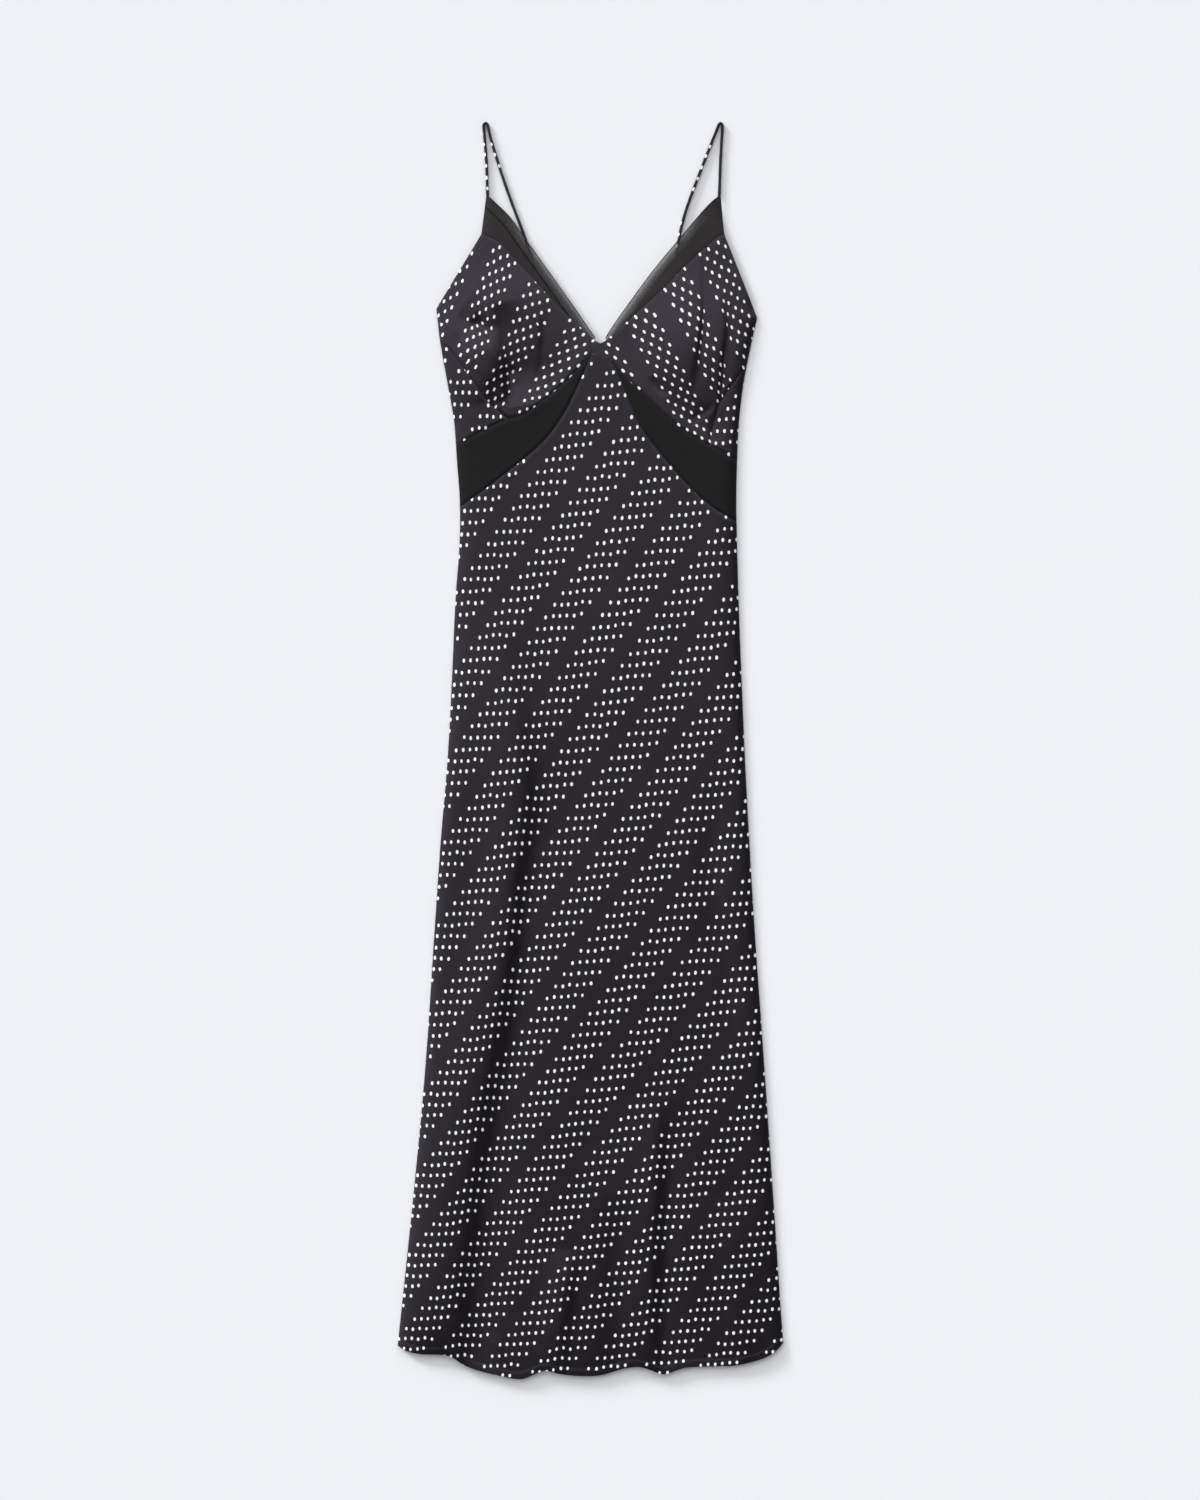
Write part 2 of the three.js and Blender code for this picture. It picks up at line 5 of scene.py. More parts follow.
import bpy
import mathutils
import numpy as np
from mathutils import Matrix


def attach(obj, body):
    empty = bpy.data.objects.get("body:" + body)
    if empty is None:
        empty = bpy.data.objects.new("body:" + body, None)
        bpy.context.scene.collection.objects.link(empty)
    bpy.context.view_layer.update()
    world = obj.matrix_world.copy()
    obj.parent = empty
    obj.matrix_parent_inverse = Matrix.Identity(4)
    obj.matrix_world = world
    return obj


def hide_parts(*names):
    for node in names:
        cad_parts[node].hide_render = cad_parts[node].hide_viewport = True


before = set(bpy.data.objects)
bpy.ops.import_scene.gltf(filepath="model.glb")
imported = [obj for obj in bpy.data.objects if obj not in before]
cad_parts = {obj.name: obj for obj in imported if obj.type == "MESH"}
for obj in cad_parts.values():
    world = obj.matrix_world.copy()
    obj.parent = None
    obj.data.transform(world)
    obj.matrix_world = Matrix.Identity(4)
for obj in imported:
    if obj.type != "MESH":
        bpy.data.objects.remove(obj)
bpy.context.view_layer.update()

# Sizes in millimetres, as in the part's source: x across, `down` from the strap tops, z up from the surface.
MM = 0.001
LENGTH = 1381.8
BACK_WALL = 0.7  # the back's cloth
FRONT_WALL = 0.5
SHEER_WALL = 0.3
FRONT_BASE = 0.95  # underside of the front where it meets the back at a side seam
LOFT = 4.1  # how far the front lies above that, away from the side seams
ROLL = 6.0
TURN = 1.6  # the tight turn of cloth right at a side seam
TURN_HEIGHT = 0.5
STRAP = 3.2
STRAP_DOT = 7.7  # dot to dot across the cloth of the straps
HEM_DEPTH = 8.0  # the hem is turned up this far
BACK_HEM_RISE = 5.0
EDGE_STRIP = 10.0  # see-through strip along each neck edge

LEFT_SIDE = [
    (205.7, -169.4), (240, -165.6), (284, -157.9), (328, -150.2), (372, -146.9), (416, -143.8),
    (460, -143.8), (526, -148.5), (614, -152.4), (702, -157.2), (790, -164.6), (900, -172.2),
    (1032, -181.0), (1164, -193.1), (1296, -206.8), (1345.3, -212.0),
]
RIGHT_SIDE = [
    (215.6, 183.2), (240, 177.7), (284, 168.9), (328, 163.4), (372, 161.2), (416, 160.2),
    (460, 161.0), (526, 162.8), (614, 166.1), (702, 170.0), (790, 174.6), (900, 181.2),
    (1032, 190.7), (1164, 199.7), (1296, 208.5), (1342, 212.0),
]
HEM = [
    (-212.0, 1345.3), (-204, 1350.4), (-187.6, 1354.1), (-161.2, 1355.2), (-151, 1358.4),
    (-140, 1365.8), (-126, 1371.7), (-99.6, 1378.3), (-76, 1381.8), (-61, 1376.2), (-51, 1372.4),
    (-33.6, 1376.1), (-11.6, 1378.4), (10.5, 1377.6), (24, 1373.9), (37, 1370.1), (54, 1368.5),
    (66, 1371.9), (80, 1376.8), (93, 1372.8), (104, 1369.3), (129, 1367.9), (156, 1367.1),
    (173, 1364), (191, 1358.5), (204, 1350.9), (212, 1342),
]
LEFT = {
    "arm": [(-114.8, 82.6), (-119.9, 123.8), (-157.9, 187), (-169.4, 205.7)],
    "neck": [(-111.4, 82.6), (-96.7, 96.6), (-86.6, 107.4), (-68.8, 132.6), (-23.7, 195.8), (7.2, 240.6)],
    "band_seam": [(-119.9, 123.8), (-100, 133.5), (-80.9, 154), (-46.8, 191.4), (-19.2, 218.9), (6.2, 242)],
    "side_seam": [(-165.4, 242), (-151.2, 255.5), (-129.8, 284.6), (-111, 309.5), (-90.8, 326.7)],
    "cup_seam": [(-90.8, 326.7), (-72.5, 321.8), (-38, 295.5), (-13.9, 272.8), (1.2, 255.4)],
    "panel_seam": [(-148, 356.4), (-123.2, 342.6), (-90.8, 326.7)],
    "skirt_seam": [(-143.6, 423.5), (-112.5, 401.8), (-56.7, 356.5), (-29.9, 322.1), (-11.2, 284.5), (1.2, 255.4)],
}
RIGHT = {
    "arm": [(143.2, 82.6), (146.9, 123.8), (165.1, 169.7), (183.2, 215.6)],
    "neck": [(139.8, 82.6), (126.5, 95), (97.9, 128.5), (64.4, 169.4), (28.8, 218.7), (14.6, 240.6)],
    "band_seam": [(146.9, 123.8), (134.8, 131.5), (106.2, 157.5), (80.9, 183.3), (47.9, 213.4), (15.6, 242)],
    "side_seam": [(171.3, 269), (156.5, 287.8), (143.5, 307), (134.8, 334), (131.5, 356.4)],
    "cup_seam": [(131.5, 356.4), (108.7, 343.6), (86.2, 326.7), (61.1, 302.9), (39.9, 282.7), (25.2, 265.6)],
    "panel_seam": [(161.6, 373.5), (142.3, 361.9), (131.5, 356.4)],
    "skirt_seam": [(160.2, 440.6), (117.2, 410.4), (62.4, 347), (41.2, 305.8), (25.2, 265.6)],
}
NECK_POINT = (10.9, 244.2)
CENTRE = (11.6, 259.1)
BACK_TOP = [
    (-168.9, 207.9), (-58.9, 160.6), (-33.6, 202.4), (-8.3, 243.1), (10.5, 275),
    (39, 245.3), (65.5, 209), (91.9, 165), (183.2, 216.7),
]
STRAP_ROUTES = {
    "left": [
        (-113.2, 82.3), (-113.6, 70), (-114.4, 45), (-116.4, 18), (-117.4, 6.5), (-117.2, 3.4),
        (-115.2, 1.6), (-113.1, 3.4), (-112.4, 6.5), (-108.6, 22), (-98.5, 55), (-87.0, 88),
        (-75.5, 118), (-66.6, 143), (-60.5, 160.8),
    ],
    "right": [
        (141.5, 82.3), (142.0, 70), (142.8, 45), (144.4, 18), (145.1, 6.5), (144.9, 3.4),
        (142.9, 1.6), (140.8, 3.4), (139.8, 6.5), (133.6, 22), (119.5, 58), (106.8, 92),
        (99.4, 118), (94.9, 145), (93.1, 164.7),
    ],
}

# The straps are cut along the cloth, so each has one line of dots along it: how far round the line has turned, in
# dots from the top of the strap, at places along it, where the first dot is and how far apart they are
STRAP_PRINT = {
    "left": ([(0, 0), (25, 0), (45, 0.15), (60, 0.2), (76, 0.5), (96, 0.5), (106, 0.8), (119, 0.9), (131, 1),
              (142, 1.5), (250, 1.5)], 9.0, 12.2),
    "right": ([(0, 0.5), (103, 0.5), (109, 0), (163, 0), (172, -0.5), (190, -0.5), (199, -0.22), (226, -0.22),
               (236, -0.5)], 7.6, 12.8),
}

# Each cup stands up from the back: centre, half width, half length and height.
CUPS = [(-98, 236, 74, 92, 10), (112, 240, 72, 100, 7.5)]

# Folds and creases: (line down the cloth, half width left and right of it, height, cloth hidden in it, whether it runs
# off the hem)
FOLDS = [
    ([(-145, 211), (-115, 232), (-100, 247), (-91, 273), (-84, 314)], (9, 40), -5.8, 6, False),
    ([(-129, 227), (-117, 242), (-108, 262), (-101, 286), (-96, 304)], (26, 10), 4.5, 0, False),
    ([(-52, 196), (-52, 226), (-54, 261), (-61, 290)], (3, 12), -0.6, 0, False),
    ([(-165, 242), (-130, 284), (-92, 326)], (9, 9), -1.4, 0, False),
    ([(124, 150), (124, 207), (122, 237), (115, 280), (111, 304)], (3, 24), -1.3, 5, False),
    ([(146, 180), (150, 226), (146, 264), (142, 309), (132, 352)], (3, 18), -1.4, 6, False),
    ([(66, 200), (74, 250), (80, 300)], (15, 15), 0.8, 0, False),
    ([(-103, 526), (-95, 636), (-69, 746), (-60, 790)], (40, 16), 2.2, 0, False),
    (
        [(-90, 590), (-82, 660), (-74, 746), (-84, 835), (-97, 966), (-119, 1087), (-133, 1186), (-144, 1296), (-149, 1372)],
        (38, 13), 3.6, 0, True,
    ),
    (
        [(-68, 660), (-60, 746), (-70, 835), (-83, 966), (-105, 1087), (-119, 1186), (-130, 1296), (-135, 1372)],
        (13, 42), -3.0, 0, True,
    ),
    ([(-120, 880), (-160, 1180), (-176, 1360)], (22, 22), 1.5, 0, True),
    ([(-22, 1240), (-28, 1290), (-33, 1330), (-37, 1376)], (22, 8), 3, 0, True),
    ([(12, 1120), (6, 1260), (0, 1378)], (24, 24), 1.2, 0, True),
    ([(74, 1075), (73, 1160), (70, 1245), (68, 1348), (68, 1372)], (30, 8), 2.8, 0, True),
    ([(83, 1075), (82, 1160), (79, 1245), (77, 1348), (77, 1372)], (8, 30), -2.4, 0, True),
    ([(106, 1090), (102, 1240), (86, 1376)], (18, 24), 1.2, 0, True),
    ([(136, 720), (132, 843), (149, 940), (152, 1040)], (16, 16), -1.5, 0, False),
    ([(150, 1180), (160, 1290), (170, 1365)], (22, 22), 2, 0, True),
    # Sharper creases along or beside the large folds
    ([(-132, 219), (-121, 226), (-107, 238)], (4, 9), -3.0, 0, False),
    ([(-102, 200), (-95, 232), (-89, 262), (-84, 306)], (9, 28), -4.2, 0, False),
    ([(-91, 270), (-87, 290), (-84, 314)], (5, 8), -1.5, 0, False),
    ([(-52, 208), (-52, 226), (-54, 258)], (2.2, 8), -0.4, 0, False),
    ([(-97, 268), (-76, 288), (-60, 312)], (4.5, 4.5), -0.5, 0, False),
    ([(-148, 232), (-134, 262), (-112, 296)], (14, 3), -1.2, 0, False),
    ([(124, 196), (122, 237), (116, 278), (111, 300)], (1.8, 10), -0.9, 0, False),
    ([(147, 188), (151, 228), (146, 266), (142, 312)], (1.8, 10), -0.9, 0, False),
    ([(133, 322), (132, 338), (131, 356)], (2.5, 12), -0.9, 0, False),
    ([(160, 282), (152, 298), (141, 314)], (2.6, 5), -0.5, 0, False),
    ([(108, 333), (122, 322), (137, 312)], (3, 5), -0.8, 0, False),
    ([(68, 280), (73, 292), (84, 300)], (4, 4), -1.2, 0, False),
    ([(-60, 800), (-78, 880), (-91, 966), (-112, 1087), (-127, 1190), (-139, 1300)], (4, 9), -0.6, 0, True),
    ([(-105, 1330), (-101, 1352), (-99, 1379)], (8, 5), 1.0, 0, True),
    ([(30, 1180), (26, 1290), (28, 1373)], (14, 14), -1.0, 0, True),
]
ARMHOLE_LIFT = 0.7  # share of the loft that is left at an armhole's free edge
HEM_SETTLES = 0.8  # share of a fold's height that is lost at the hem
SETTLE_LENGTH = 22.0


def points(rows):
    return np.array(rows, dtype=float)


def spline(rows, per_leg=40):
    """A smooth curve through the rows, as closely spaced points."""
    p = points(rows)
    slope = np.empty_like(p)
    slope[1:-1] = (p[2:] - p[:-2]) / 2
    slope[0], slope[-1] = (p[1] - p[0]) / 2, (p[-1] - p[-2]) / 2
    t = np.linspace(0, 1, per_leg, endpoint=False)[:, None]
    legs = [
        (2 * t**3 - 3 * t**2 + 1) * p[i]
        + (t**3 - 2 * t**2 + t) * slope[i]
        + (3 * t**2 - 2 * t**3) * p[i + 1]
        + (t**3 - t**2) * slope[i + 1]
        for i in range(len(p) - 1)
    ]
    return np.vstack([*legs, p[-1:]])


def smooth_table(rows):
    """A smooth function through the rows' (place, value)."""
    p = points(rows)
    slope = np.empty(len(p))
    slope[1:-1] = (p[2:, 1] - p[:-2, 1]) / (p[2:, 0] - p[:-2, 0])
    slope[0], slope[-1] = np.diff(p[:2, 1]) / np.diff(p[:2, 0]), np.diff(p[-2:, 1]) / np.diff(p[-2:, 0])

    def value(place):
        place = np.asarray(place, dtype=float)
        i = np.clip(np.searchsorted(p[:, 0], place), 1, len(p) - 1)
        a, b = p[i - 1], p[i]
        span = b[..., 0] - a[..., 0]
        s = np.clip((place - a[..., 0]) / span, 0, 1)
        return (
            (2 * s**3 - 3 * s**2 + 1) * a[..., 1]
            + (s**3 - 2 * s**2 + s) * span * slope[i - 1]
            + (3 * s**2 - 2 * s**3) * b[..., 1]
            + (s**3 - s**2) * span * slope[i]
        )

    return value


left_side = smooth_table(LEFT_SIDE)
right_side = smooth_table(RIGHT_SIDE)
front_hem = smooth_table(HEM)


def left_edge(down):
    arm = points(LEFT["arm"])
    return np.where(down < LEFT_SIDE[0][0], np.interp(down, arm[:, 1], arm[:, 0]), left_side(down))


def right_edge(down):
    arm = points(RIGHT["arm"])
    return np.where(down < RIGHT_SIDE[0][0], np.interp(down, arm[:, 1], arm[:, 0]), right_side(down))


def nearest(line, x, down):
    """Distance from each point to a line, the share along it there, and which side: positive to its right."""
    segment = np.diff(line, axis=0)
    length = np.linalg.norm(segment, axis=1)
    along = np.concatenate([[0], np.cumsum(length)]) / length.sum()
    least = np.full(x.shape, np.inf)
    share = np.zeros(x.shape)
    side = np.zeros(x.shape)
    for k, (start, step) in enumerate(zip(line[:-1], segment)):
        across = np.stack([x - start[0], down - start[1]])
        t = np.clip((across[0] * step[0] + across[1] * step[1]) / length[k] ** 2, 0, 1)
        distance = np.hypot(across[0] - t * step[0], across[1] - t * step[1])
        closer = distance < least
        least = np.where(closer, distance, least)
        share = np.where(closer, along[k] + t * (along[k + 1] - along[k]), share)
        turn = across[0] * step[1] - across[1] * step[0]
        side = np.where(closer, np.sign(turn), side)
    return least, share, side


def faded(share, runs_off):
    """A fold's strength along its line: it fades at both ends, or only at the upper one."""
    fade_in = np.sin(np.pi / 2 * np.minimum(share / 0.35, 1))
    fade_out = 1.0 if runs_off else np.sin(np.pi / 2 * np.minimum((1 - share) / 0.35, 1))
    return fade_in * fade_out


def free_share(down):
    """1 along an armhole, where the edge is free, and 0 where a strap or a side seam holds it down"""
    start, end = np.clip((down - 100) / 30, 0, 1), np.clip((212 - down) / 22, 0, 1)
    return start**2 * (3 - 2 * start) * end**2 * (3 - 2 * end)


FOLD_LINES = [(spline(line, 12), *rest) for line, *rest in FOLDS]


def front_height(x, down):
    """Underside of the front layer"""
    inset = np.maximum(np.minimum(x - left_edge(down), right_edge(down) - x), 0)
    form = np.full(x.shape, LOFT)
    for cx, cd, half_width, half_length, height in CUPS:
        reach = ((x - cx) / half_width) ** 2 + ((down - cd) / half_length) ** 2
        form += np.where(reach < 1, height * (1 - np.minimum(reach, 1)) ** 2, 0)
    settled = 1 - HEM_SETTLES * np.exp(-np.maximum(front_hem(x) - down, 0) / SETTLE_LENGTH)
    for line, half_width, height, _, runs_off in FOLD_LINES:
        distance, share, side = nearest(line, x, down)
        reach = np.where(side > 0, half_width[1], half_width[0])
        form += height * settled * faded(share, runs_off) * np.exp(-((distance / reach) ** 2))
    form += 0.3 * np.sin(x / 31 + down / 140) * np.sin(down / 97 - x / 60)
    form += 0.15 * np.sin(x / 13 - down / 61) * np.sin(down / 37 + x / 23)
    rise = 1 - (1 - ARMHOLE_LIFT * free_share(down)) * np.exp(-inset / ROLL)
    turn = TURN_HEIGHT * (1 - np.exp(-inset / TURN))
    return FRONT_BASE + turn + np.maximum(form, 0.4) * rise


# How the dot print lies on the cloth: (x, dot to dot), (x, slope of a row) and (down, row to row).
# `set_back` is how far each row's groups start before those above, and `start` is a group's first dot.
BODY_PRINT = {
    "dots": [(-220, 7.4), (-130, 7.35), (-40, 7.7), (20, 8.0), (130, 7.85), (220, 7.75)],
    "rise": [(-220, 0.02), (-130, 0.045), (-40, 0.09), (20, 0.105), (130, 0.085), (220, 0.08)],
    "rows": [
        (0, 12.6), (480, 12.6), (520, 12.8), (600, 12.75), (660, 12.4), (768, 12.2), (900, 12.0), (1032, 11.8), (1164, 11.35),
        (1290, 11.1), (1400, 11.0),
    ],
    "set_back": 1.2, "group": 8.2, "start": (-12.0, 491.6),
}
# On a cup, x runs from the side seam towards the centre, so the right one mirrors the left.
LEFT_CUP_PRINT = {
    "dots": [(-140, 7.5), (-95, 7.6), (-60, 8.1), (-20, 9.3)],
    "rise": [(-140, 0.53), (-100, 0.48), (-65, 0.27), (-25, 0.36)],
    "rows": [(0, 12.4), (225, 12.2), (250, 11.6), (280, 10.3), (420, 10.1)],
    "set_back": 0.8, "group": 8.65, "start": (-125.8, 189.1),
}
RIGHT_CUP_PRINT = {
    "dots": [(-160, 7.6), (-130, 8.2), (-90, 8.9), (-50, 9.6), (-20, 9.8)],
    "rise": [(-160, 0.56), (-90, 0.53), (-20, 0.50)],
    "rows": [(0, 12.2), (235, 12.0), (265, 10.3), (420, 10.2)],
    "set_back": 0.8, "group": 8.8, "start": (-91.6, 259.5),
}
across_axis = np.arange(-240.0, 241.0)
down_axis = np.arange(0, 1500.0)


def counted(layout, x, down):
    """Dots and rows counted over the cloth. Rows are measured down from the level of the layout's start."""
    dots = np.cumsum(1 / np.interp(across_axis, *points(layout["dots"]).T))
    rise = np.cumsum(np.interp(across_axis, *points(layout["rise"]).T))
    rows = np.cumsum(1 / np.interp(down_axis, *points(layout["rows"]).T))
    level = down + np.interp(x, across_axis, rise) - np.interp(layout["start"][0], across_axis, rise)
    return np.interp(x, across_axis, dots), np.interp(level, down_axis, rows)


def printed(layout, x, down):
    """The same, counted so that the first dot of a group is at the layout's start"""
    first_dot, first_row = counted(layout, *layout["start"])
    dots, rows = counted(layout, x, down)
    return dots - first_dot + 0.5 - layout["set_back"] / 2, rows - first_row + 0.5


def body_print(x, down):
    dots, rows = printed(BODY_PRINT, x, down)
    for line, half_width, height, _, runs_off in FOLD_LINES:
        if runs_off and height > 2.5:
            distance, share, _ = nearest(line, x, down)
            rows += 0.2 * faded(share, runs_off) * np.exp(-((distance / min(half_width)) ** 2))
    return dots, rows


def cup_print(x, down, onward):
    dots, rows = printed(LEFT_CUP_PRINT if onward > 0 else RIGHT_CUP_PRINT, onward * x, down)
    for line, half_width, _, hidden, _ in FOLD_LINES:
        if hidden:
            distance, share, side = nearest(line, x, down)
            taken = hidden * faded(share, False) / 8
            dots += onward * taken * 0.5 * np.tanh(side * distance / min(half_width))
    return dots, rows


def along(line):
    """Share of the length at each point of a line"""
    step = np.linalg.norm(np.diff(line, axis=0), axis=1)
    return np.concatenate([[0], np.cumsum(step)]) / step.sum()


def sampled(line, shares):
    place = along(line)
    return np.stack([np.interp(shares, place, line[:, 0]), np.interp(shares, place, line[:, 1])], axis=1)


def side_line(side, start, end):
    down = np.linspace(start, end, 120)
    return np.stack([side(down), down], axis=1)


def shares(count, crowding=0.6):
    """Stations from 0 to 1 that crowd towards both ends"""
    t = np.linspace(0, 1, count + 1)
    return t - crowding * np.sin(2 * np.pi * t) / (2 * np.pi)


def plan(top, bottom, left, right, columns, rows):
    """A grid of places between four lines: top and bottom run to the right, left and right run down."""
    u, v = shares(columns), shares(rows)
    t, b, l, r = sampled(top, u), sampled(bottom, u), sampled(left, v), sampled(right, v)
    u, v = u[None, :, None], v[:, None, None]
    grid = (1 - v) * t[None] + v * b[None] + (1 - u) * l[:, None] + u * r[:, None]
    return grid - (1 - u) * ((1 - v) * t[0] + v * b[0]) - u * ((1 - v) * t[-1] + v * b[-1])


def new_mesh(name, corners, faces, material, maps, loop_vertex=None):
    """A mesh object from corners in millimetres, with one UV map for each entry of maps."""
    mesh = bpy.data.meshes.new(name)
    mesh.from_pydata((corners * MM).tolist(), [], faces)
    mesh.validate()
    for map_name, values in maps.items():
        layer = mesh.uv_layers.new(name=map_name)
        index = np.empty(len(mesh.loops), dtype=np.int32)
        mesh.loops.foreach_get("vertex_index", index)
        layer.uv.foreach_set("vector", values[index].astype(np.float32).ravel())
    mesh.polygons.foreach_set("use_smooth", [True] * len(mesh.polygons))
    mesh.set_sharp_from_angle(angle=math.radians(48))
    mesh.materials.append(material)
    piece = bpy.data.objects.new(name, mesh)
    bpy.context.scene.collection.objects.link(piece)
    return piece


def above_back(lower):
    """A front piece's underside, kept clear of the back where the sewing draws it down"""
    return np.maximum(lower, BACK_WALL + 0.1)


def shell(name, grid, lower, wall, material, maps):
    """A closed thin wall of cloth over a grid of places, with its underside at the heights `lower`."""
    rows, columns = grid.shape[:2]
    flat = grid.reshape(-1, 2)
    count = len(flat)
    z = lower.reshape(-1)
    y = LENGTH / 2 - flat[:, 1]
    corners = np.vstack([np.stack([flat[:, 0], y, z], 1), np.stack([flat[:, 0], y, z + wall], 1)])
    index = np.arange(count).reshape(rows, columns)
    a, b, c, d = index[:-1, :-1], index[:-1, 1:], index[1:, 1:], index[1:, :-1]
    under = np.stack([a, b, c, d], -1).reshape(-1, 4)
    over = np.stack([a, d, c, b], -1).reshape(-1, 4) + count
    border = np.concatenate([index[:-1, 0], index[-1, :-1], index[:0:-1, -1], index[0, :0:-1]])
    after = np.roll(border, -1)
    rim = np.stack([border, after, after + count, border + count], 1)
    faces = np.vstack([under, over, rim]).tolist()
    doubled = {key: np.vstack([value, value]) for key, value in maps.items()}
    return new_mesh(name, corners, faces, material, doubled)


def seam_relief(grid, seams, free=()):
    """Height that the sewing adds: on each seam a ditch with a soft ridge beside it, and a turned edge where it's free."""
    x, down = grid[..., 0], grid[..., 1]
    relief = np.zeros(x.shape)
    off_centre = 1 - np.exp(-(((x - CENTRE[0]) ** 2 + (down - CENTRE[1]) ** 2) / 18**2))
    for line, depth, ridge in seams:
        distance = nearest(line, x, down)[0]
        ditch = -depth * np.exp(-((distance / 1.6) ** 2)) + ridge * np.exp(-(((distance - 4.5) / 2.5) ** 2))
        relief += off_centre * ditch
    for line, depth, step in free:
        distance = nearest(line, x, down)[0]
        relief += step / (1 + np.exp((distance - depth) / 0.5)) - 0.2 * np.exp(-(((distance - depth) / 1.0) ** 2))
    return relief


def maths(tree, operation, *values, clamp=False):
    """A maths node on sockets or numbers. Returns its output."""
    node = tree.nodes.new("ShaderNodeMath")
    node.operation, node.use_clamp = operation, clamp
    for socket, value in zip(node.inputs, values):
        if isinstance(value, (int, float)):
            socket.default_value = value
        else:
            tree.links.new(value, socket)
    return node.outputs[0]


def smooth_step(tree, value, low, high):
    node = tree.nodes.new("ShaderNodeMapRange")
    node.interpolation_type = "SMOOTHSTEP"
    tree.links.new(value, node.inputs["Value"])
    node.inputs["From Min"].default_value, node.inputs["From Max"].default_value = low, high
    return node.outputs["Result"]


def noise(tree, vector, scale, detail=2.0, roughness=0.5):
    node = tree.nodes.new("ShaderNodeTexNoise")
    node.inputs["Scale"].default_value = scale
    node.inputs["Detail"].default_value = detail
    node.inputs["Roughness"].default_value = roughness
    tree.links.new(vector, node.inputs["Vector"])
    return node.outputs["Fac"]


def mixed(tree, share, first, second):
    """A colour between two, by a share"""
    node = tree.nodes.new("ShaderNodeMix")
    node.data_type = "RGBA"
    for key, value in (("Factor", share), ("A", first), ("B", second)):
        socket = next(s for s in node.inputs if s.name == key and s.enabled)
        if isinstance(value, tuple):
            socket.default_value = (*value, 1)
        else:
            tree.links.new(value, socket)
    return next(s for s in node.outputs if s.enabled)


def uv_parts(tree, name):
    node = tree.nodes.new("ShaderNodeUVMap")
    node.uv_map = name
    split = tree.nodes.new("ShaderNodeSeparateXYZ")
    tree.links.new(node.outputs["UV"], split.inputs[0])
    return split.outputs[0], split.outputs[1]


# The print: groups of six dots in a row, each row set back from the one above it, so that the groups form slanting bands
GROUP_DOTS = 6
DOT_HALF_WIDTH = 0.185
DOT_HALF_HEIGHT = 0.165


FIRST_BAND_SHIFT = 0.0495  # how far, in rows, the unevenness moves the first band of groups


def dot_mask(tree, layout):
    """1 on the white dots and 0 between them. The hand-drawn unevenness comes from white noise in each dot."""
    dots, rows = uv_parts(tree, "print")
    set_back, group = layout["set_back"], layout["group"]
    slanted = maths(tree, "MULTIPLY_ADD", rows, set_back, dots)
    band = maths(tree, "FLOOR", maths(tree, "DIVIDE", maths(tree, "ADD", slanted, 0.8), group))
    band_noise = tree.nodes.new("ShaderNodeTexWhiteNoise")
    band_noise.noise_dimensions = "1D"
    tree.links.new(band, band_noise.inputs["W"])
    offset = maths(tree, "MULTIPLY", maths(tree, "SUBTRACT", band_noise.outputs["Value"], 0.5), 0.6)
    shifted = maths(tree, "ADD", rows, offset)
    row = maths(tree, "FLOOR", shifted)
    within_row = maths(tree, "SUBTRACT", maths(tree, "SUBTRACT", shifted, row), 0.5)
    row_place = maths(tree, "SUBTRACT", maths(tree, "ADD", row, 0.5), offset)
    start = maths(tree, "MULTIPLY", band, group)
    place = maths(tree, "SUBTRACT", maths(tree, "MULTIPLY_ADD", row_place, set_back, dots), start)
    dot = maths(tree, "FLOOR", place)
    cell = tree.nodes.new("ShaderNodeCombineXYZ")
    for socket, value in zip(cell.inputs, (dot, row, band)):
        tree.links.new(value, socket)
    dot_noise = tree.nodes.new("ShaderNodeTexWhiteNoise")
    tree.links.new(cell.outputs[0], dot_noise.inputs["Vector"])
    shake = tree.nodes.new("ShaderNodeSeparateXYZ")
    tree.links.new(dot_noise.outputs["Color"], shake.inputs[0])
    across = maths(tree, "SUBTRACT", maths(tree, "SUBTRACT", place, dot), 0.5)
    across = maths(tree, "MULTIPLY_ADD", maths(tree, "SUBTRACT", shake.outputs[0], 0.5), 0.12, across)
    up = maths(tree, "MULTIPLY_ADD", maths(tree, "SUBTRACT", shake.outputs[1], 0.5), 0.16, within_row)
    size = maths(tree, "MULTIPLY_ADD", shake.outputs[2], 0.16, 0.92)
    wide = maths(tree, "DIVIDE", across, DOT_HALF_WIDTH)
    high = maths(tree, "DIVIDE", up, DOT_HALF_HEIGHT)
    reach = maths(tree, "SQRT", maths(tree, "ADD", maths(tree, "MULTIPLY", wide, wide), maths(tree, "MULTIPLY", high, high)))
    inside = smooth_step(tree, maths(tree, "DIVIDE", reach, size), 1.12, 0.9)
    first = maths(tree, "GREATER_THAN", place, 0.0)
    last = maths(tree, "LESS_THAN", place, float(GROUP_DOTS))
    return maths(tree, "MULTIPLY", maths(tree, "MULTIPLY", inside, first), last)


